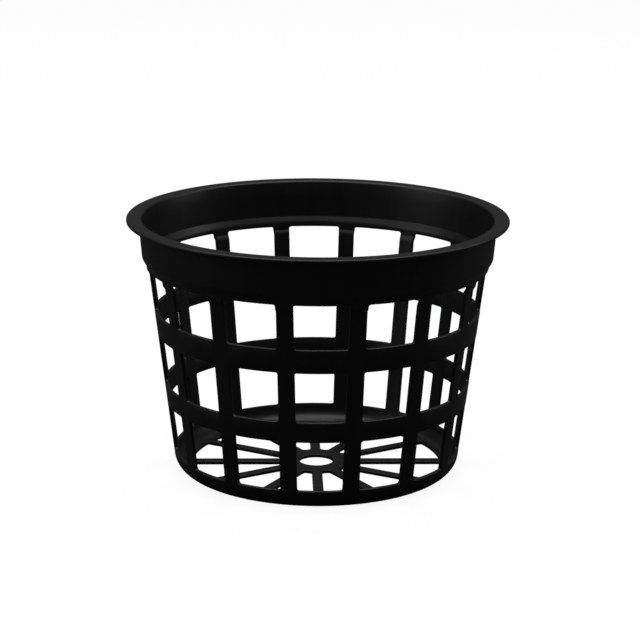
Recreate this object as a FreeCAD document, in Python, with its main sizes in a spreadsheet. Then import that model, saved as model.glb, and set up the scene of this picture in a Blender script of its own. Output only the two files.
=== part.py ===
"""Hydroponic net pot, 55 mm over the rim: one thin-walled injection moulding.

Millimetres, +Z up, with the origin at the centre of the underside of the base.
The pot is a tapered cup with a thin flange and a two-step collar. The wall below the
collar is cut into three rows of windows, which leaves ribs and hoops, and the floor is
cut into spokes round a drained hub. The mould's two slides meet at the left and right
sides, so the windows come in a front set and a back set, with a wider rib between them.
"""
import FreeCAD, Part
import math
import os

import Sketcher

ORIGIN = (-1, 1)
X_AXIS = -1
NEAR = 0.001

SIZES = [
    ("rim_diameter", 55.0, "flange, outside"),
    ("height", 37.4, "base to top of flange"),
    ("wall", 0.5, "wall and collar, square to the surface"),
    ("floor_thickness", 0.5, "floor and spokes"),
    ("flange_thickness", 0.5, "flange"),
    ("flange_width", 1.75, "flange, out from the collar"),
    ("flange_edge_radius", 0.2, "flange, outer edges"),
    ("flange_root_radius", 0.9, "under the flange, into the collar"),
    ("throat_radius", 0.35, "flange top into the bore of the collar"),
    ("upper_band_depth", 5.1, "upper band"),
    ("upper_band_draft", 0.45, "upper band, inwards from head to foot"),
    ("step_depth", 0.85, "slope between the bands"),
    ("step_width", 0.55, "slope between the bands, inwards"),
    ("lower_band_depth", 1.15, "lower band"),
    ("lower_band_draft", 0.15, "lower band, inwards from head to foot"),
    ("foot_step_depth", 0.45, "slope from the lower band to the wall"),
    ("foot_step_width", 0.325, "slope from the lower band to the wall, inwards"),
    ("band_radius", 0.8, "rounding of the collar's steps, in and out"),
    ("base_diameter", 41.2, "tapered wall, carried down to the base plane"),
    ("base_radius", 2.5, "outside corner between wall and floor"),
    ("base_band", 2.85, "base plane to the lowest windows"),
    ("low_window", 7.4, "height of the lowest windows"),
    ("low_hoop", 2.95, "height of the hoop above them"),
    ("middle_window", 7.3, "height of the middle windows"),
    ("high_hoop", 3.4, "height of the hoop above them"),
    ("high_window", 6.5, "height of the highest windows"),
    ("window_corner", 0.3, "corner radius of the windows"),
    ("columns", 5, "equal columns of windows in each half"),
    ("rib_pitch", 24.0, "degrees from rib to rib"),
    ("rib_width", 2.15, "ribs"),
    ("parting_rib_width", 3.6, "the two ribs where the slides meet"),
    ("spokes", 12, "spokes in the floor"),
    ("spoke_width", 1.5, "spokes"),
    ("floor_ring_bore", 36.6, "inside of the solid ring of the floor"),
    ("hub_diameter", 10.0, "hub"),
    ("drain_diameter", 5.0, "drain hole in the hub"),
    ("floor_corner", 0.35, "corner radius of the floor openings"),
]

# The corners of the outside, from the flange's top edge down to the head of the tapered
# wall. Each is named, with its step inwards and its step down from the one before it.
OUTSIDE = [
    ("flange_edge", None, "flange_thickness"),
    ("collar_head", "flange_width", None),
    ("upper_band_foot", "upper_band_draft", "upper_band_depth"),
    ("lower_band_head", "step_width", "step_depth"),
    ("lower_band_foot", "lower_band_draft", "lower_band_depth"),
    ("wall_head", "foot_step_width", "foot_step_depth"),
]

document = FreeCAD.newDocument("net_pot")


def make_sheet():
    """Put every driving size in the sheet, then the two that follow from them."""
    sheet = document.addObject("Spreadsheet::Sheet", "sizes")
    steps_in = [inwards for label, inwards, down in OUTSIDE if inwards]
    steps_down = [down for label, inwards, down in OUTSIDE if down]
    followers = [
        ("wall_head_radius", "=rim_diameter / 2 - " + " - ".join(steps_in), "outside"),
        ("wall_head_height", "=height - " + " - ".join(steps_down), "above the base plane"),
    ]
    for row, (name, value, note) in enumerate(SIZES + followers, start=1):
        sheet.set("A%d" % row, name)
        sheet.set("B%d" % row, str(value))
        sheet.setAlias("B%d" % row, name)
        sheet.set("C%d" % row, note)
    document.recompute()
    return {name: float(sheet.get(name)) for name, value, note in SIZES + followers}


size = make_sheet()


def origin_feature(body, role):
    """Find one of the body's own planes or axes."""
    return [item for item in body.Origin.OriginFeatures if item.Role == role][0]


def new_sketch(body, name, role):
    """Start a sketch on one of the body's own planes."""
    sketch = body.newObject("Sketcher::SketchObject", name)
    sketch.AttachmentSupport = [(origin_feature(body, role), "")]
    sketch.MapMode = "FlatFace"
    return sketch


def add_line(sketch, start, end, construction=False):
    line = Part.LineSegment(FreeCAD.Vector(*start, 0), FreeCAD.Vector(*end, 0))
    return sketch.addGeometry(line, construction)


def add_arc(sketch, centre, radius, first, last):
    """Add an arc that runs anticlockwise from one angle to another, in degrees."""
    circle = Part.Circle(FreeCAD.Vector(*centre, 0), FreeCAD.Vector(0, 0, 1), radius)
    arc = Part.ArcOfCircle(circle, math.radians(first), math.radians(last))
    return sketch.addGeometry(arc, False)


def rule(sketch, kind, *references):
    return sketch.addConstraint(Sketcher.Constraint(kind, *references))


def measure(sketch, label, kind, *references, expression):
    """Add a dimension, name it and bind it to the sheet."""
    index = rule(sketch, kind, *references)
    sketch.renameConstraint(index, label)
    sketch.setExpression("Constraints." + label, expression)


def check(feature):
    """Stop at once if a feature failed or left no valid solid."""
    document.recompute()
    if "Invalid" in feature.State or "Error" in feature.State:
        raise RuntimeError("%s failed: %s" % (feature.Name, feature.getStatusString()))
    if feature.Shape.isNull() or not feature.Shape.isValid():
        raise RuntimeError("%s has no valid shape" % feature.Name)
    return feature


def check_cut(feature, before):
    """Check a feature that removes material, and that it did remove some."""
    check(feature)
    if feature.Shape.Volume > before.Shape.Volume - NEAR:
        raise RuntimeError("%s cut nothing" % feature.Name)
    return feature


# The section through one side of the cup: down the outside from the rim to the base,
# and back up the inside at one wall's distance.

def outside_points():
    """List the section's outer corners as (radius, height), from the rim down."""
    radius, level = size["rim_diameter"] / 2, size["height"]
    points = [(radius, level)]
    for label, inwards, down in OUTSIDE:
        radius -= size[inwards] if inwards else 0
        level -= size[down] if down else 0
        points.append((radius, level))
    points.append((size["base_diameter"] / 2, 0))
    return points


def draw_section(body):
    sketch = new_sketch(body, "section", "XZ_Plane")
    outside = outside_points()
    wall, floor = size["wall"], size["floor_thickness"]
    inside = [(radius - wall, level) for radius, level in outside[2:-1]]
    inside[0] = (inside[0][0], size["height"])
    inside.append((outside[-1][0] - wall, floor))
    corners = outside + [(0, 0), (0, floor)] + inside[::-1]
    lines = []
    for start, end in zip(corners, corners[1:] + corners[:1]):
        lines.append(add_line(sketch, start, end))
    for line, follower in zip(lines, lines[1:] + lines[:1]):
        rule(sketch, "Coincident", line, 2, follower, 1)

    # The outer corners are held by the rim, and then by each step inwards and down.
    measure(sketch, "rim_radius", "DistanceX", *ORIGIN, lines[0], 1, outside[0][0],
            expression="sizes.rim_diameter / 2")
    measure(sketch, "height", "DistanceY", *ORIGIN, lines[0], 1, outside[0][1],
            expression="sizes.height")
    for line, (label, inwards, down) in zip(lines, OUTSIDE):
        if inwards:
            measure(sketch, label + "_in", "DistanceX", line, 2, line, 1, size[inwards],
                    expression="sizes." + inwards)
        else:
            rule(sketch, "Vertical", line)
        if down:
            measure(sketch, label + "_down", "DistanceY", line, 2, line, 1, size[down],
                    expression="sizes." + down)
        else:
            rule(sketch, "Horizontal", line)
    taper = lines[len(OUTSIDE)]
    underside = taper + 1
    axis = taper + 2
    measure(sketch, "base_radius", "DistanceX", *ORIGIN, taper, 2, outside[-1][0],
            expression="sizes.base_diameter / 2")
    rule(sketch, "PointOnObject", taper, 2, X_AXIS)
    rule(sketch, "Coincident", underside, 2, *ORIGIN)
    rule(sketch, "Vertical", axis)
    measure(sketch, "floor", "DistanceY", *ORIGIN, axis, 2, floor,
            expression="sizes.floor_thickness")
    rule(sketch, "Horizontal", axis + 1)

    # Each inner line lies one wall away from the outer line it faces.
    outer_lines = lines[2:len(OUTSIDE) + 1]
    for inner, outer in enumerate(outer_lines[::-1], start=axis + 2):
        for end in (1, 2):
            measure(sketch, "wall_%d_%d" % (inner, end), "Distance", inner, end, outer, wall,
                    expression="sizes.wall")
    rule(sketch, "Horizontal", lines[-1])
    return sketch


def revolve(body, sketch):
    cup = body.newObject("PartDesign::Revolution", "cup")
    cup.Profile = (sketch, [""])
    cup.ReferenceAxis = (sketch, ["V_Axis"])
    cup.Angle = 360
    sketch.Visibility = False
    return check(cup)


# Rounded edges of the turned cup. Each is a whole circle, found by its radius and height.

def circles(feature, wanted):
    """Name the round edges whose radius and height pass a test."""
    names = []
    for number, edge in enumerate(feature.Shape.Edges, start=1):
        if isinstance(edge.Curve, Part.Circle) and wanted(edge.Curve.Radius, edge.Curve.Center.z):
            names.append("Edge%d" % number)
    return names


def round_edges(body, name, base, edges, expression):
    if not edges:
        raise RuntimeError("%s found no edge" % name)
    fillet = body.newObject("PartDesign::Fillet", name)
    fillet.Base = (base, edges)
    fillet.setExpression("Radius", expression)
    base.Visibility = False
    return check(fillet)


def near(value, target):
    return abs(value - target) < NEAR


def round_cup(body, cup):
    outside = outside_points()
    rim, top = outside[0]
    collar, under_flange = outside[2]
    wall_head = size["wall_head_height"]

    edges = circles(cup, lambda radius, level: near(radius, rim))
    cup = round_edges(body, "flange_edges", cup, edges, "sizes.flange_edge_radius")
    edges = circles(cup, lambda radius, level: near(radius, collar) and near(level, under_flange))
    cup = round_edges(body, "flange_root", cup, edges, "sizes.flange_root_radius")
    edges = circles(cup, lambda radius, level: radius < collar and near(level, top))
    cup = round_edges(body, "throat", cup, edges, "sizes.throat_radius")
    low, high = wall_head - NEAR, under_flange - size["flange_root_radius"] - NEAR
    edges = circles(cup, lambda radius, level: low < level < high)
    cup = round_edges(body, "band_edges", cup, edges, "sizes.band_radius")
    edges = circles(cup, lambda radius, level: near(level, 0))
    cup = round_edges(body, "base_corner", cup, edges, "sizes.base_radius")
    floor = size["floor_thickness"]
    inner = size["base_diameter"] / 2 - 2 * size["wall"]
    edges = circles(cup, lambda radius, level: near(level, floor) and radius > inner)
    return round_edges(body, "inner_corner", cup, edges, "sizes.base_radius - sizes.wall")


# Windows: one sketch holds a column of three, and a pattern carries the cut round.

ROWS = [
    ("low", "base_band", "low_window"),
    ("middle", "low_hoop", "middle_window"),
    ("high", "high_hoop", "high_window"),
]


def rib_edge(radius, half_bay, rib):
    """Write the distance from a bay's middle to the edge of the rib beside it."""
    return "%s * sin(%s) - sizes.%s / 2 * cos(%s)" % (radius, half_bay, rib, half_bay)


def draw_rib_edge(sketch, side, half_bay, rib, guess):
    """Draw the slanting edge of a rib, from the base plane to the head of the wall."""
    head = size["wall_head_height"]
    edge = add_line(sketch, (side * guess, 0), (side * guess, head), construction=True)
    name = "left" if side < 0 else "right"
    ends = [("base", 1, "sizes.base_diameter / 2"), ("head", 2, "sizes.wall_head_radius")]
    for end, vertex, radius in ends:
        points = [*ORIGIN, edge, vertex] if side > 0 else [edge, vertex, *ORIGIN]
        measure(sketch, "%s_%s" % (name, end), "DistanceX", *points, guess,
                expression=rib_edge(radius, half_bay, rib))
    rule(sketch, "PointOnObject", edge, 1, X_AXIS)
    measure(sketch, name + "_height", "DistanceY", *ORIGIN, edge, 2, head,
            expression="sizes.wall_head_height")
    return edge


def draw_window(sketch, label, left, right, guess, sill, height):
    """Draw one window between two rib edges, with rounded corners. Returns its sill and head."""
    corner = size["window_corner"]
    head = sill + height
    bottom = add_line(sketch, (corner - guess, sill), (guess - corner, sill))
    arcs = [add_arc(sketch, (guess - corner, sill + corner), corner, -90, 0)]
    right_side = add_line(sketch, (guess, sill + corner), (guess, head - corner))
    arcs.append(add_arc(sketch, (guess - corner, head - corner), corner, 0, 90))
    top = add_line(sketch, (guess - corner, head), (corner - guess, head))
    arcs.append(add_arc(sketch, (corner - guess, head - corner), corner, 90, 180))
    left_side = add_line(sketch, (-guess, head - corner), (-guess, sill + corner))
    arcs.append(add_arc(sketch, (corner - guess, sill + corner), corner, 180, 270))
    for line, arc, follower in zip([bottom, right_side, top, left_side], arcs,
                                   [right_side, top, left_side, bottom]):
        rule(sketch, "Tangent", line, 2, arc, 1)
        rule(sketch, "Tangent", arc, 2, follower, 1)
    rule(sketch, "Horizontal", bottom)
    rule(sketch, "Horizontal", top)
    for side, edge in ((left_side, left), (right_side, right)):
        rule(sketch, "PointOnObject", side, 1, edge)
        rule(sketch, "PointOnObject", side, 2, edge)
    for arc in arcs[1:]:
        rule(sketch, "Equal", arcs[0], arc)
    measure(sketch, label + "_corner", "Radius", arcs[0], corner,
            expression="sizes.window_corner")
    return bottom, top


def draw_column(body, name, turn, half_bay, ribs, guess):
    """Draw a column of windows on an upright plane through the axis, turned from the front."""
    sketch = new_sketch(body, name, "XZ_Plane")
    upright = FreeCAD.Rotation(FreeCAD.Vector(0, 1, 0), 1)
    sketch.AttachmentOffset = FreeCAD.Placement(FreeCAD.Vector(), upright)
    sketch.setExpression("AttachmentOffset.Rotation.Angle", turn)
    left = draw_rib_edge(sketch, -1, half_bay, ribs[0], guess)
    right = draw_rib_edge(sketch, 1, half_bay, ribs[1], guess)
    below, level = ORIGIN, 0
    for label, gap, height in ROWS:
        sill = level + size[gap]
        bottom, top = draw_window(sketch, label, left, right, guess, sill, size[height])
        measure(sketch, label + "_sill", "DistanceY", *below, bottom, 1, size[gap],
                expression="sizes." + gap)
        measure(sketch, label + "_height", "DistanceY", bottom, 1, top, 2, size[height],
                expression="sizes." + height)
        below, level = (top, 2), sill + size[height]
    return sketch


def cut_wall(body, name, sketch, before, both_sides):
    """Cut from the axis out through the wall, on one side or on both."""
    pocket = body.newObject("PartDesign::Pocket", name)
    pocket.Profile = (sketch, [""])
    if both_sides:
        pocket.SideType = "Symmetric"
        pocket.setExpression("Length", "sizes.rim_diameter")
    else:
        pocket.Reversed = True
        pocket.setExpression("Length", "sizes.rim_diameter / 2")
    sketch.Visibility = False
    return check_cut(pocket, before)


def mirror(body, name, original, role, before):
    """Repeat a cut on the other side of one of the body's own planes."""
    feature = body.newObject("PartDesign::Mirrored", name)
    feature.Originals = [original]
    feature.MirrorPlane = (origin_feature(body, role), [""])
    body.Tip = feature
    return check_cut(feature, before)


def repeat(body, name, original, angle, occurrences, before):
    """Repeat a cut round the pot's axis."""
    feature = body.newObject("PartDesign::PolarPattern", name)
    feature.Originals = [original]
    feature.Axis = (origin_feature(body, "Z_Axis"), [""])
    feature.setExpression("Angle", angle)
    feature.setExpression("Occurrences", occurrences)
    body.Tip = feature
    return check_cut(feature, before)


def cut_windows(body, cup):
    """Cut the wider bays beside the parting ribs, then the equal columns of both halves."""
    half_bay = math.radians(90 - size["rib_pitch"] * size["columns"] / 2) / 2
    sketch = draw_column(
        body, "side_column", "45 + sizes.rib_pitch * sizes.columns / 4",
        "45 - sizes.rib_pitch * sizes.columns / 4", ("rib_width", "parting_rib_width"),
        size["base_diameter"] / 2 * math.sin(half_bay))
    side = cut_wall(body, "side_cut", sketch, cup, False)
    cup = mirror(body, "right_back", side, "XZ_Plane", side)
    cup = mirror(body, "left_front", side, "YZ_Plane", cup)
    cup = repeat(body, "left_back", side, "180", "2", cup)

    half_bay = math.radians(size["rib_pitch"]) / 2
    sketch = draw_column(
        body, "column", "-sizes.rib_pitch * (sizes.columns - 1) / 2", "sizes.rib_pitch / 2",
        ("rib_width", "rib_width"), size["base_diameter"] / 2 * math.sin(half_bay))
    column = cut_wall(body, "column_cut", sketch, cup, True)
    return repeat(body, "columns", column, "sizes.rib_pitch * (sizes.columns - 1)",
                  "sizes.columns", column)


# Floor: one opening between two spokes, carried round the hub, and the drain hole.

def draw_floor_opening(body):
    """Draw the opening between the spoke that lies along +X and the next one."""
    sketch = new_sketch(body, "floor_opening", "XY_Plane")
    half = size["spoke_width"] / 2
    hub, ring = size["hub_diameter"] / 2, size["floor_ring_bore"] / 2
    step = 360 / size["spokes"]
    side = math.degrees(math.asin(half / hub))

    def at(radius, angle):
        return (radius * math.cos(math.radians(angle)), radius * math.sin(math.radians(angle)))

    spoke = add_line(sketch, (0, 0), at(ring, step), construction=True)
    first = add_line(sketch, at(hub, side), at(ring, side / 3))
    outer = add_arc(sketch, (0, 0), ring, side / 3, step - side / 3)
    last = add_line(sketch, at(ring, step - side / 3), at(hub, step - side))
    inner = add_arc(sketch, (0, 0), hub, side, step - side)
    rule(sketch, "Coincident", spoke, 1, *ORIGIN)
    for arc in (outer, inner):
        rule(sketch, "Coincident", arc, 3, *ORIGIN)
    rule(sketch, "Coincident", first, 2, outer, 1)
    rule(sketch, "Coincident", outer, 2, last, 1)
    rule(sketch, "Coincident", last, 2, inner, 2)
    rule(sketch, "Coincident", inner, 1, first, 1)
    rule(sketch, "Horizontal", first)
    rule(sketch, "Parallel", last, spoke)
    measure(sketch, "spoke_step", "Angle", X_AXIS, 1, spoke, 1, math.radians(step),
            expression="360 / sizes.spokes")
    measure(sketch, "spoke_length", "Distance", spoke, ring,
            expression="sizes.floor_ring_bore / 2")
    measure(sketch, "first_side", "DistanceY", *ORIGIN, first, 1, half,
            expression="sizes.spoke_width / 2")
    measure(sketch, "last_side", "Distance", last, 1, spoke, half,
            expression="sizes.spoke_width / 2")
    measure(sketch, "ring", "Radius", outer, ring, expression="sizes.floor_ring_bore / 2")
    measure(sketch, "hub", "Radius", inner, hub, expression="sizes.hub_diameter / 2")
    return sketch


def cut_upwards(body, name, sketch, before):
    """Cut through the floor only."""
    pocket = body.newObject("PartDesign::Pocket", name)
    pocket.Profile = (sketch, [""])
    pocket.Reversed = True
    pocket.setExpression("Length", "sizes.floor_thickness")
    sketch.Visibility = False
    return check_cut(pocket, before)


def cut_floor(body, cup):
    opening = cut_upwards(body, "floor_cut", draw_floor_opening(body), cup)
    cup = repeat(body, "floor_openings", opening, "360", "sizes.spokes", opening)
    floor = size["floor_thickness"]
    corners = []
    for number, edge in enumerate(cup.Shape.Edges, start=1):
        ends = [vertex.Point for vertex in edge.Vertexes]
        if len(ends) == 2 and near(abs(ends[0].z - ends[1].z), floor):
            if near(edge.Length, floor) and min(ends[0].z, ends[1].z) < NEAR:
                corners.append("Edge%d" % number)
    cup = round_edges(body, "floor_corners", cup, corners, "sizes.floor_corner")

    sketch = new_sketch(body, "drain", "XY_Plane")
    radius = size["drain_diameter"] / 2
    hole = sketch.addGeometry(
        Part.Circle(FreeCAD.Vector(), FreeCAD.Vector(0, 0, 1), radius), False)
    rule(sketch, "Coincident", hole, 3, *ORIGIN)
    measure(sketch, "drain", "Diameter", hole, size["drain_diameter"],
            expression="sizes.drain_diameter")
    return cut_upwards(body, "drain_hole", sketch, cup)


net_pot = document.addObject("PartDesign::Body", "net_pot")
net_pot.Label = "net_pot"
turned = revolve(net_pot, draw_section(net_pot))
rounded = round_cup(net_pot, turned)
windowed = cut_windows(net_pot, rounded)
net_pot.Tip = cut_floor(net_pot, windowed)
document.recompute()

for item in document.Objects:
    if "Invalid" in item.State or "Error" in item.State:
        raise RuntimeError("%s is not valid" % item.Name)
if net_pot.Shape.isNull() or not net_pot.Shape.isValid() or len(net_pot.Shape.Solids) != 1:
    raise RuntimeError("net_pot is not one valid solid")
box = net_pot.Shape.BoundBox
print("net_pot: %.2f x %.2f x %.2f mm, %.1f mm3, %d faces"
      % (box.XLength, box.YLength, box.ZLength, net_pot.Shape.Volume, len(net_pot.Shape.Faces)))
os.makedirs("parts", exist_ok=True)
net_pot.Shape.exportStep("parts/net_pot.step")
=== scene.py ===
# %% [markdown]
# # A hydroponic net pot in black polypropylene
#
# The real thing is one injection moulding: a small tapered cup, 55 mm over its flange,
# whose wall and floor are a lattice, so that roots can grow out into the water. The CAD
# model gives the sizes, except that the ribs are drawn a quarter of a millimetre wider
# here. This lesson builds a smooth version of the same shape, with the small rounded
# edges that catch the light, and gives it a moulded plastic finish.
#
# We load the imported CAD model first, because everything is made around it.

import math

import bpy
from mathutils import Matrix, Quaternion, Vector


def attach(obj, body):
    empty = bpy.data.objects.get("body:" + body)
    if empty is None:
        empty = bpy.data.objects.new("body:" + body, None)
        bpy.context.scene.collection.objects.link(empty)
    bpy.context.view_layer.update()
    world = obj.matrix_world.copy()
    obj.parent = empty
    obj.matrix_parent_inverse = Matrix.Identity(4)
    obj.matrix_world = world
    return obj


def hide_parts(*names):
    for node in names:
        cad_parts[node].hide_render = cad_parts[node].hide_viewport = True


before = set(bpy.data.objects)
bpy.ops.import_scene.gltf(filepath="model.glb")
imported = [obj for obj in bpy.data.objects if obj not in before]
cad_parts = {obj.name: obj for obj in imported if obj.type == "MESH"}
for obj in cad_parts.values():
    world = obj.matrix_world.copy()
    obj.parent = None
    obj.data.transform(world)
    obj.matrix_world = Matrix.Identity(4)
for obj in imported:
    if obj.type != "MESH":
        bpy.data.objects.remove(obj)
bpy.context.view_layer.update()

# %% [markdown]
# ## Sizes
#
# Blender works in metres and the drawing of the pot is in millimetres, so a constant
# turns one into the other. The outline is the outside of the pot from the floor to the
# underside of the flange. Each entry is a radius and a height. The window rows are pairs
# of heights, the sill and the head.

# %% Sizes of the pot
MM = 0.001
WALL = 0.5
FLOOR_BORE = 18.3
BASE_CORNER = 2.5
TAPER_BASE = (20.6, 0.0)
TAPER_HEAD = (24.275, 29.35)
LOWER_FOOT = (24.6, 29.8)
LOWER_HEAD = (24.75, 30.95)
UPPER_FOOT = (25.3, 31.8)
COLLAR_HEAD = (25.75, 36.9)
STEP_ROUNDING = 0.8
FLANGE_RADIUS = 27.5
FLANGE_UNDER = 36.9
FLANGE_TOP = 37.4
FLANGE_ROOT = 0.9
FLANGE_EDGE = 0.2
THROAT = 0.35
WINDOW_ROWS = [(2.85, 10.25), (13.2, 20.5), (23.9, 30.4)]
WINDOW_CORNER = 0.3
RIB_STEP = 24
RIB = 2.4
WIDE_RIB = 3.6
SEGMENT = 2
print("pot:", 2 * FLANGE_RADIUS, "mm over the flange,", FLANGE_TOP, "mm high")

# %% [markdown]
# ## Drawing the outline
#
# A turned part starts as one side of its section. By hand you would add a vertex, extrude
# it from corner to corner, and round the corners with a vertex bevel. Here the rounded
# corners are worked out as arcs, so that each one has exactly the radius on the drawing.

# %% Arcs in the outline
def unit(a, b):
    length = math.hypot(b[0] - a[0], b[1] - a[1])
    return ((b[0] - a[0]) / length, (b[1] - a[1]) / length)


def rounded(before, corner, after, radius, steps):
    """Return the points of an arc that rounds a corner of the outline."""
    u, v = unit(corner, before), unit(corner, after)
    half = math.acos(max(-1, min(1, u[0] * v[0] + u[1] * v[1]))) / 2
    middle = unit((0, 0), (u[0] + v[0], u[1] + v[1]))
    reach = radius / math.sin(half)
    centre = (corner[0] + middle[0] * reach, corner[1] + middle[1] * reach)
    tangent = radius / math.tan(half)
    first = (corner[0] + u[0] * tangent - centre[0], corner[1] + u[1] * tangent - centre[1])
    last = (corner[0] + v[0] * tangent - centre[0], corner[1] + v[1] * tangent - centre[1])
    start = math.atan2(first[1], first[0])
    turn = math.atan2(last[1], last[0]) - start
    turn = (turn + math.pi) % (2 * math.pi) - math.pi
    points = []
    for i in range(steps + 1):
        angle = start + turn * i / steps
        points.append((centre[0] + radius * math.cos(angle), centre[1] + radius * math.sin(angle)))
    return points


def wall_radius(height):
    """Outside radius of the tapered wall at a height."""
    share = height / TAPER_HEAD[1]
    return TAPER_BASE[0] + (TAPER_HEAD[0] - TAPER_BASE[0]) * share


def on_line(a, b, height):
    share = (height - a[1]) / (b[1] - a[1])
    return (a[0] + (b[0] - a[0]) * share, height)


skin = [(FLOOR_BORE, 0)]
skin += rounded((0, 0), TAPER_BASE, TAPER_HEAD, BASE_CORNER, 10)
for sill, head in WINDOW_ROWS[:2]:
    skin += [(wall_radius(sill), sill), (wall_radius(head), head)]
skin.append((wall_radius(WINDOW_ROWS[2][0]), WINDOW_ROWS[2][0]))
skin += rounded(TAPER_BASE, TAPER_HEAD, LOWER_FOOT, STEP_ROUNDING, 3)
skin += rounded(TAPER_HEAD, LOWER_FOOT, LOWER_HEAD, STEP_ROUNDING, 3)
skin.append(on_line(LOWER_FOOT, LOWER_HEAD, WINDOW_ROWS[2][1]))
skin += rounded(LOWER_FOOT, LOWER_HEAD, UPPER_FOOT, STEP_ROUNDING, 4)
skin += rounded(LOWER_HEAD, UPPER_FOOT, COLLAR_HEAD, STEP_ROUNDING, 4)
skin.append(on_line(UPPER_FOOT, COLLAR_HEAD, FLANGE_UNDER - 2 * FLANGE_ROOT))
print("outline of the wall:", len(skin), "points, up to", round(skin[-1][1], 2), "mm")

# %% [markdown]
# ## One bay of the wall
#
# A bay is the slice of wall from the middle of one rib to the middle of the next, with
# its three windows. The outline is spun through the bay's angle. Then two slanting cuts
# with the bisect tool mark the edges of the ribs, and the faces between them are deleted
# where the windows are. Bisect keeps the mesh in neat rows, which a boolean would not,
# and neat rows shade smoothly on a glossy part.

# %% Helpers for working in edit mode
def start_mesh(name):
    """Add a mesh object that holds one vertex, ready to be extruded."""
    bpy.ops.object.select_all(action="DESELECT")
    bpy.ops.mesh.primitive_plane_add(size=MM)
    piece = bpy.context.object
    piece.name = name
    bpy.ops.object.mode_set(mode="EDIT")
    bpy.ops.mesh.select_mode(type="VERT")
    bpy.ops.mesh.select_all(action="SELECT")
    bpy.ops.mesh.merge(type="CENTER")
    return piece


def pick(piece, test, kind="VERT"):
    """Select the vertices, edges or faces whose middle passes a test, and count them."""
    bpy.ops.object.mode_set(mode="EDIT")
    bpy.ops.mesh.select_mode(type=kind)
    bpy.ops.mesh.select_all(action="DESELECT")
    bpy.ops.object.mode_set(mode="OBJECT")
    mesh = piece.data
    spots = [vertex.co / MM for vertex in mesh.vertices]
    if kind == "VERT":
        items, middles = mesh.vertices, spots
    elif kind == "EDGE":
        items = mesh.edges
        middles = [(spots[edge.vertices[0]] + spots[edge.vertices[1]]) / 2 for edge in items]
    else:
        items = mesh.polygons
        middles = [face.center / MM for face in items]
    count = 0
    for item, middle in zip(items, middles):
        item.select = bool(test(middle))
        count += item.select
    bpy.ops.object.mode_set(mode="EDIT")
    return count


def done():
    bpy.ops.object.mode_set(mode="OBJECT")


def azimuth(spot):
    """Angle round the pot in degrees, from the front (-Y) towards +X."""
    return math.degrees(math.atan2(spot.x, -spot.y))


def radius(spot):
    return math.hypot(spot.x, spot.y)


def facing(angle):
    """Unit vector that points out of the pot at an azimuth."""
    return Vector((math.sin(math.radians(angle)), -math.cos(math.radians(angle)), 0))


def draw_chain(name, points, angle):
    """Extrude a chain of edges along (radius, height) points at an azimuth."""
    piece = start_mesh(name)
    out = facing(angle)
    spots = [out * r * MM + Vector((0, 0, z * MM)) for r, z in points]
    bpy.ops.transform.translate(value=spots[0])
    for here, there in zip(spots, spots[1:]):
        bpy.ops.mesh.extrude_region_move(TRANSFORM_OT_translate={"value": there - here})
    return piece


def spin(piece, angle):
    """Spin the whole mesh about the pot's axis, one segment every two degrees."""
    bpy.ops.mesh.select_all(action="SELECT")
    bpy.ops.mesh.spin(steps=round(angle / SEGMENT), angle=math.radians(angle),
                      center=(0, 0, 0), axis=(0, 0, -1))


def merge_seams():
    bpy.ops.mesh.select_mode(type="VERT")
    bpy.ops.mesh.select_all(action="SELECT")
    bpy.ops.mesh.remove_doubles(threshold=0.01 * MM)


# %% Cut the windows of one bay
def cut_rib_edge(middle, half_bay, side, rib):
    """Cut the wall along the edge of a rib. The rib keeps its width from foot to head."""
    out, across = facing(middle), facing(middle + 90)
    half = math.radians(half_bay)
    spots = []
    for r, z in (TAPER_BASE, TAPER_HEAD):
        shift = side * (r * math.sin(half) - rib / 2 * math.cos(half))
        spots.append(across * shift * MM + Vector((0, 0, z * MM)))
    normal = out.cross(spots[1] - spots[0]).normalized()
    bpy.ops.mesh.select_all(action="SELECT")
    bpy.ops.mesh.bisect(plane_co=spots[0], plane_no=normal, threshold=0.00001 * MM)
    return spots[0], normal


def make_bay(name, middle, half_bay, left_rib, right_rib):
    """Spin a bay of wall round an azimuth, and take out its three windows."""
    piece = draw_chain(name, skin, middle - half_bay)
    spin(piece, 2 * half_bay)
    merge_seams()
    sides = [cut_rib_edge(middle, half_bay, -1, left_rib),
             cut_rib_edge(middle, half_bay, 1, right_rib)]

    def in_window(spot):
        in_row = any(sill < spot.z < head for sill, head in WINDOW_ROWS)
        signs = [(spot * MM - place).dot(normal) for place, normal in sides]
        return in_row and signs[0] * signs[1] < 0

    count = pick(piece, in_window, "FACE")
    bpy.ops.mesh.delete(type="FACE")
    done()
    print(name, "has", len(piece.data.polygons), "faces after", count, "were taken out")
    return piece


bay = make_bay("bay", 0, RIB_STEP / 2, RIB, RIB)
side_bay = make_bay("side_bay", 75, 15, RIB, WIDE_RIB)

# %% [markdown]
# ## The whole wall
#
# The mould's two slides each make five equal bays, at the front and at the back. The
# wider bays beside the two parting ribs are copies of one, turned half round or mirrored.

# %% Copy the bays round
def copy_piece(piece, name):
    """Copy an object with its own mesh."""
    bpy.ops.object.select_all(action="DESELECT")
    piece.select_set(True)
    bpy.context.view_layer.objects.active = piece
    bpy.ops.object.duplicate()
    copy = bpy.context.object
    copy.name = name
    return copy


def turn_piece(piece, angle):
    """Turn a piece about the pot's axis and keep the turn in its mesh."""
    piece.rotation_euler = (0, 0, math.radians(angle))
    bpy.ops.object.select_all(action="DESELECT")
    piece.select_set(True)
    bpy.ops.object.transform_apply(rotation=True, scale=True)


def mirror_piece(piece, axis):
    """Mirror a piece through the pot's middle, and turn its faces outwards again."""
    scale = [1, 1, 1]
    scale[axis] = -1
    piece.scale = scale
    bpy.ops.object.select_all(action="DESELECT")
    piece.select_set(True)
    bpy.ops.object.transform_apply(rotation=True, scale=True)


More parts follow.
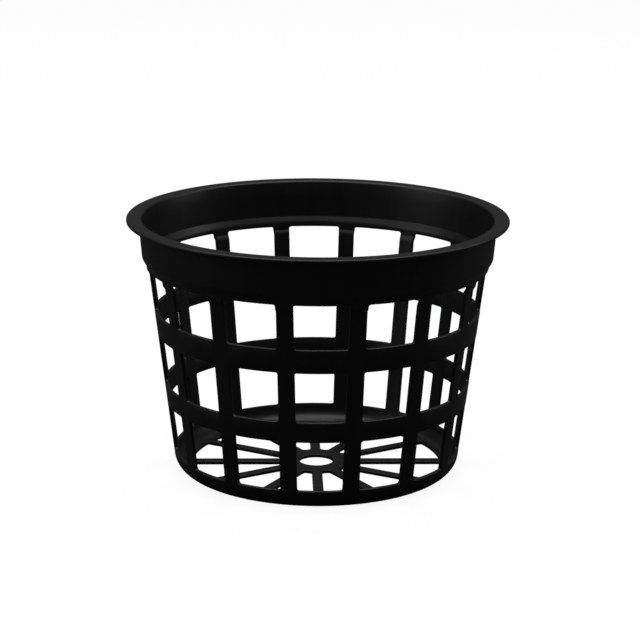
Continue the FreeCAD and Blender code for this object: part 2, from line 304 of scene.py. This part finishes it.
def join(pieces, name):
    """Join pieces into the first of them."""
    bpy.ops.object.select_all(action="DESELECT")
    for piece in pieces:
        piece.select_set(True)
    bpy.context.view_layer.objects.active = pieces[0]
    bpy.ops.object.join()
    whole = bpy.context.object
    whole.name = name
    return whole


bays = [bay]
for step in (-2, -1, 1, 2):
    bays.append(copy_piece(bay, "bay_copy"))
    turn_piece(bays[-1], step * RIB_STEP)
for front_bay in list(bays):
    bays.append(copy_piece(front_bay, "back_bay"))
    turn_piece(bays[-1], 180)
side_bays = [side_bay]
for axis in (0, 1):
    side_bays.append(copy_piece(side_bay, "side_bay_copy"))
    mirror_piece(side_bays[-1], axis)
side_bays.append(copy_piece(side_bay, "side_bay_copy"))
turn_piece(side_bays[-1], 180)
pot = join(bays + side_bays, "net_pot_moulding")
bpy.ops.object.mode_set(mode="EDIT")
merge_seams()
done()
print("wall:", len(pot.data.vertices), "vertices,", len(pot.data.polygons), "faces")

# %% [markdown]
# ## The floor
#
# The floor is flat, so it needs few faces: a ring round the drain hole for the hub, and
# one long face on each side of every spoke's middle line. The ring that the wall's
# outline starts with is already there. Its two points beside each spoke move a little,
# so that the spoke keeps its width, and then faces bridge from the hub to the ring.

# %% Hub and spokes
SPOKES = 12
SPOKE = 1.5
HUB_RADIUS = 5.0
DRAIN_RADIUS = 2.5
HUB_POINTS = 60
ON_SPOT = 0.02


def set_beside_spokes(piece, ring_radius, from_angle):
    """Move the points nearest to the spokes on a flat ring to the spokes' edges."""
    edge_angle = math.degrees(math.asin(SPOKE / 2 / ring_radius))
    for spoke in range(0, 360, 360 // SPOKES):
        for side in (-1, 1):
            here = facing(spoke + side * from_angle) * ring_radius
            pick(piece, lambda spot: (spot - here).length < ON_SPOT)
            turn = math.radians(side * (edge_angle - from_angle))
            bpy.ops.transform.rotate(value=-turn, orient_axis="Z",
                                     center_override=(0, 0, 0))


set_beside_spokes(pot, FLOOR_BORE, SEGMENT)
done()
bpy.ops.object.select_all(action="DESELECT")
bpy.ops.mesh.primitive_circle_add(vertices=HUB_POINTS, radius=DRAIN_RADIUS * MM)
hub = bpy.context.object
hub.name = "hub"
bpy.ops.object.mode_set(mode="EDIT")
bpy.ops.mesh.select_all(action="SELECT")
bpy.ops.mesh.extrude_region_move()
bpy.ops.transform.resize(value=[HUB_RADIUS / DRAIN_RADIUS] * 3)
set_beside_spokes(hub, HUB_RADIUS, 360 / HUB_POINTS)
done()
pot = join([pot, hub], "net_pot_moulding")


def spoke_ends(spoke):
    """Make a test for the edges where one spoke meets the hub and the ring."""
    along = facing(spoke)

    def test(spot):
        reach, aside = spot.dot(along), abs(spot.cross(along).z)
        on_hub = abs(reach - HUB_RADIUS) < 0.1 and radius(spot) > HUB_RADIUS - 0.05
        on_ring = abs(reach - FLOOR_BORE) < ON_SPOT
        return spot.z < 0.01 and aside < 0.5 and (on_hub or on_ring)
    return test


bridged = 0
for spoke in range(0, 360, 360 // SPOKES):
    bridged += pick(pot, spoke_ends(spoke), "EDGE")
    bpy.ops.mesh.bridge_edge_loops()
done()
print("bridged", bridged, "edges for", SPOKES, "spokes")
print("with the floor:", len(pot.data.vertices), "vertices,", len(pot.data.polygons), "faces")

# %% [markdown]
# ## A wall with a thickness, and a flange
#
# All of this skin is the outside of the pot. The Solidify modifier gives it the wall's
# 0.5 mm inwards, and with even thickness on, corners keep it too. The flange's edges are
# rounded by different amounts, so it has a section of its own. The faces that close the
# top of the wall are deleted, and the outer loop there is extruded along that section, out
# round the flange and back to the bore, so that it keeps the wall's own columns.

# %% Give the skin its wall
def face_outwards(piece):
    """Point every face away from the inside of the cup."""
    bpy.ops.object.mode_set(mode="EDIT")
    bpy.ops.mesh.select_all(action="SELECT")
    bpy.ops.mesh.normals_make_consistent(inside=False)
    done()
    outermost = max(piece.data.polygons, key=lambda face: radius(face.center))
    if outermost.normal.dot(facing(azimuth(outermost.center))) < 0:
        bpy.ops.object.mode_set(mode="EDIT")
        bpy.ops.mesh.select_all(action="SELECT")
        bpy.ops.mesh.flip_normals()
        done()


def apply_modifier(piece, kind, name, **settings):
    modifier = piece.modifiers.new(name, kind)
    for key, value in settings.items():
        setattr(modifier, key, value)
    bpy.ops.object.select_all(action="DESELECT")
    piece.select_set(True)
    bpy.context.view_layer.objects.active = piece
    bpy.ops.object.modifier_apply(modifier=modifier.name)
    print(name, "leaves", len(piece.data.polygons), "faces")


face_outwards(pot)
apply_modifier(pot, "SOLIDIFY", "wall", thickness=WALL * MM, offset=-1,
               use_even_offset=True, use_quality_normals=True)

# %% Draw the flange up from the top of the wall
def select_only(piece):
    bpy.ops.object.select_all(action="DESELECT")
    piece.select_set(True)
    bpy.context.view_layer.objects.active = piece


def extrude_ring(here, there):
    """Extrude the selected ring from one (radius, height) to another."""
    bpy.ops.mesh.extrude_region_move(
        TRANSFORM_OT_translate={"value": (0, 0, (there[1] - here[1]) * MM)})
    grow = there[0] / here[0]
    bpy.ops.transform.resize(value=(grow, grow, 1), center_override=(0, 0, 0))


along = unit(UPPER_FOOT, COLLAR_HEAD)
inner_start = (skin[-1][0] - WALL * along[1], skin[-1][1] + WALL * along[0])
throat = (inner_start[0] + along[0] / along[1] * (FLANGE_TOP - inner_start[1]), FLANGE_TOP)
under_edge, top_edge = (FLANGE_RADIUS, FLANGE_UNDER), (FLANGE_RADIUS, FLANGE_TOP)
flange = [skin[-1]]
flange += rounded(skin[-1], COLLAR_HEAD, under_edge, FLANGE_ROOT, 8)
flange += rounded(COLLAR_HEAD, under_edge, top_edge, FLANGE_EDGE, 4)
flange += rounded(under_edge, top_edge, throat, FLANGE_EDGE, 4)
flange += rounded(top_edge, throat, inner_start, THROAT, 6)
flange.append(inner_start)

select_only(pot)
top_faces = pick(pot, lambda spot: spot.z > skin[-1][1] - 0.01, "FACE")
bpy.ops.mesh.delete(type="FACE")
ring_edges = pick(pot, lambda spot: abs(spot.z - skin[-1][1]) < 0.001, "EDGE")
print("took out", top_faces, "faces at the top and drew up", ring_edges, "edges")
for here, there in zip(flange, flange[1:]):
    extrude_ring(here, there)
merge_seams()
done()
print("with the flange:", len(pot.data.polygons), "faces")

# %% [markdown]
# ## Rounded corners of the openings
#
# The slides and the core that make the openings are milled, so every corner of a window
# or a floor opening has a radius. In edit mode you would pick the short edges that run
# through the wall at each corner and bevel them with a few segments. The code finds them
# by the angle between the two faces that meet there.

# %% Round the corners of the windows and the floor openings
FLOOR_CORNER = 0.35
CORNER_STEPS = 4


def pick_corners(piece, through):
    """Select the edges that run through the wall where two sides of an opening meet."""
    bpy.ops.object.mode_set(mode="EDIT")
    bpy.ops.mesh.select_mode(type="EDGE")
    bpy.ops.mesh.select_all(action="DESELECT")
    bpy.ops.object.mode_set(mode="OBJECT")
    mesh = piece.data
    normals = {}
    for face in mesh.polygons:
        for key in face.edge_keys:
            normals.setdefault(key, []).append(face.normal)
    count = 0
    for edge in mesh.edges:
        first, last = [mesh.vertices[i].co / MM for i in edge.vertices]
        sides = normals.get(edge.key, [])
        if through(first, last) and len(sides) == 2 and sides[0].angle(sides[1]) > 1:
            edge.select = True
            count += 1
    bpy.ops.object.mode_set(mode="EDIT")
    return count


def through_wall(first, last):
    across = abs(radius(first) - radius(last)) > 0.4 and abs(first.z - last.z) < 0.2
    return across and 2 < first.z < 31 and 2 < last.z < 31


def through_floor(first, last):
    return abs(first.z - last.z) > 0.4 and max(radius(first), radius(last)) < FLOOR_BORE + 0.01


count = pick_corners(pot, through_wall)
print("corners of windows:", count)
bpy.ops.mesh.bevel(offset=WINDOW_CORNER * MM, segments=CORNER_STEPS, affect="EDGES",
                   clamp_overlap=False)
done()
count = pick_corners(pot, through_floor)
print("corners of floor openings:", count)
bpy.ops.mesh.bevel(offset=FLOOR_CORNER * MM, segments=CORNER_STEPS, affect="EDGES",
                   clamp_overlap=False)
done()
print("now", len(pot.data.polygons), "faces")

# %% [markdown]
# ## Soft edges
#
# A mould never makes a perfectly sharp edge. A narrow bevel on every edge that is still
# sharp catches a thin line of light, which is what makes black plastic readable. Faces
# that meet at less than fifty degrees are then shaded as one smooth surface.

# %% Bevel the sharp edges and smooth the shading
EDGE_ROUNDING = 0.07
SHARP = math.radians(50)
select_only(pot)
apply_modifier(pot, "BEVEL", "soft edges", width=EDGE_ROUNDING * MM, segments=2,
               limit_method="ANGLE", angle_limit=SHARP, use_clamp_overlap=False)
select_only(pot)
bpy.ops.object.shade_smooth_by_angle(angle=SHARP)
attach(pot, "root")
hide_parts("net_pot")

# %% [markdown]
# ## Moulded black polypropylene
#
# The pot is polypropylene with carbon black in it, injection moulded. The colour is nearly
# black all through, so almost all that the eye sees is a soft satin reflection, strongest
# where the surface turns away. Two noise patterns on Object coordinates keep it from
# looking computed: a fine grain that only bends the light, and broad faint streaks that
# change the tint and the gloss. Both sizes are chosen for this kind of moulding.

# %% Helpers for colours and nodes
def linear(code):
    """Turn an sRGB hex colour into the linear colour that Blender works in."""
    channels = [int(code[i:i + 2], 16) / 255 for i in (1, 3, 5)]
    values = [c / 12.92 if c <= 0.04045 else ((c + 0.055) / 1.055) ** 2.4 for c in channels]
    return (*values, 1)


def add_node(tree, kind, **settings):
    """Add a node. A setting named after a socket is a value or a link to it."""
    node = tree.nodes.new(kind)
    for key, value in settings.items():
        if hasattr(node, key):
            setattr(node, key, value)
            continue
        socket = node.inputs[key.replace("_", " ")]
        if isinstance(value, bpy.types.NodeSocket):
            tree.links.new(value, socket)
        else:
            socket.default_value = value
    return node


# %% The plastic
# The grain is what a lightly spark eroded mould leaves. It is drawn a third of a millimetre
# wide, coarser than a real one, so that it shows at all. The streaks stand for the way the
# resin flowed along the wall. They are drawn out upwards by the Mapping node.
GRAIN_WIDTH = 1 / 3
STREAK_WIDTH = 5 / 3
GRAIN_DEPTH = 0.01
POLYPROPYLENE_IOR = 1.49

plastic = bpy.data.materials.new("black_polypropylene")
plastic.use_nodes = True
tree = plastic.node_tree
tree.nodes.clear()
place = add_node(tree, "ShaderNodeTexCoord").outputs["Object"]
grain = add_node(tree, "ShaderNodeTexNoise", Vector=place,
                 Scale=1 / (GRAIN_WIDTH * MM), Detail=3.0)
stretch = add_node(tree, "ShaderNodeMapping", Vector=place, Scale=(1, 1, 0.12))
streak = add_node(tree, "ShaderNodeTexNoise", Vector=stretch.outputs[0],
                  Scale=1 / (STREAK_WIDTH * MM), Detail=2.0)
tint = add_node(tree, "ShaderNodeValToRGB", Fac=streak.outputs["Fac"])
tint.color_ramp.elements[0].position = 0.3
tint.color_ramp.elements[0].color = linear("#0C0E0E")
tint.color_ramp.elements[1].position = 0.7
tint.color_ramp.elements[1].color = linear("#121414")
gloss = add_node(tree, "ShaderNodeMapRange", Value=streak.outputs["Fac"], To_Min=0.34, To_Max=0.42)
relief = add_node(tree, "ShaderNodeBump", Height=grain.outputs["Fac"], Strength=0.25,
                  Distance=GRAIN_DEPTH * MM)
shader = add_node(tree, "ShaderNodeBsdfPrincipled", Base_Color=tint.outputs["Color"],
                  Roughness=gloss.outputs["Result"], IOR=POLYPROPYLENE_IOR,
                  Normal=relief.outputs["Normal"])
add_node(tree, "ShaderNodeOutputMaterial", Surface=shader.outputs["BSDF"])
pot.data.materials.clear()
pot.data.materials.append(plastic)

# %% [markdown]
# ## The studio
#
# The pot stands on white paper that runs on into a white background. The camera sees the
# paper glow almost to white, with a share of plain lit paper added, so that the pot's
# shadow stays on it. Every other ray meets a dull grey instead, since a bright floor
# would shine up into the plastic and turn it grey. The world does the same.

# %% Floor
bpy.ops.object.select_all(action="DESELECT")
bpy.ops.mesh.primitive_plane_add(size=4, location=(0, 0, 0))
floor = bpy.context.object
floor.name = "studio_floor"
white = bpy.data.materials.new("white_studio_paper")
white.use_nodes = True
tree = white.node_tree
tree.nodes.clear()
path = add_node(tree, "ShaderNodeLightPath")
dull = add_node(tree, "ShaderNodeBsdfDiffuse", Color=linear("#404040"))
paper = add_node(tree, "ShaderNodeBsdfDiffuse", Color=linear("#606060"))
glow = add_node(tree, "ShaderNodeEmission", Color=(1, 1, 1, 1), Strength=0.93)
lit = add_node(tree, "ShaderNodeAddShader")
tree.links.new(paper.outputs[0], lit.inputs[0])
tree.links.new(glow.outputs[0], lit.inputs[1])
mix = add_node(tree, "ShaderNodeMixShader")
tree.links.new(path.outputs["Is Camera Ray"], mix.inputs[0])
tree.links.new(dull.outputs[0], mix.inputs[1])
tree.links.new(lit.outputs[0], mix.inputs[2])
add_node(tree, "ShaderNodeOutputMaterial", Surface=mix.outputs[0])
floor.data.materials.append(white)

# %% Backdrop
world = bpy.data.worlds.new("studio")
bpy.context.scene.world = world
world.use_nodes = True
tree = world.node_tree
tree.nodes.clear()
path = add_node(tree, "ShaderNodeLightPath")
dim = add_node(tree, "ShaderNodeBackground", Color=(1, 1, 1, 1), Strength=0.08)
bright = add_node(tree, "ShaderNodeBackground", Color=(1, 1, 1, 1), Strength=1.0)
mix = add_node(tree, "ShaderNodeMixShader")
tree.links.new(path.outputs["Is Camera Ray"], mix.inputs[0])
tree.links.new(dim.outputs[0], mix.inputs[1])
tree.links.new(bright.outputs[0], mix.inputs[2])
add_node(tree, "ShaderNodeOutputWorld", Surface=mix.outputs[0])

# %% [markdown]
# ## Lamps
#
# One large soft box overhead lights the flange and the spokes. Two weak ones at the sides
# give the ribs and the collar something to reflect. All three face the middle of the pot.

# %% Soft boxes
def add_panel(name, place, size, power, aim=(0, 0, 0.02)):
    """Add a soft box, a rectangular area lamp that faces the pot."""
    lamp = bpy.data.lights.new(name, "AREA")
    lamp.shape = "RECTANGLE"
    lamp.size, lamp.size_y = size
    lamp.energy = power
    piece = bpy.data.objects.new(name, lamp)
    bpy.context.scene.collection.objects.link(piece)
    piece.location = place
    way = Vector(aim) - Vector(place)
    piece.rotation_euler = way.to_track_quat("-Z", "Y").to_euler()
    return piece


add_panel("top_box", (0, 0.05, 0.6), (0.7, 0.7), 3.0)
add_panel("left_box", (-0.6, -0.1, 0.25), (0.4, 0.5), 0.6)
add_panel("right_box", (0.6, 0.1, 0.25), (0.25, 0.5), 0.5)

# %% [markdown]
# ## Camera
#
# A long lens about a third of a metre away looks down at fifteen degrees, which shows the
# flange as a flat ellipse and lets the drain hole show between the ribs. The camera leans
# by less than half a degree.

# %% Camera
LEAN = math.radians(0.43)
bpy.ops.object.camera_add(location=(-0.00793, -0.31206, 0.10596))
camera = bpy.context.object
camera.data.lens = 125.0
camera.data.sensor_width = 36
camera.data.clip_start = 0.01
aim = Vector((0.0004, 0, 0.02191))
look = (aim - camera.location).to_track_quat("-Z", "Y")
camera.rotation_euler = (look @ Quaternion((0, 0, 1), LEAN)).to_euler()
bpy.context.scene.camera = camera
bpy.context.scene.view_settings.view_transform = "Standard"
print("camera:", round((aim - camera.location).length / MM), "mm from the pot")
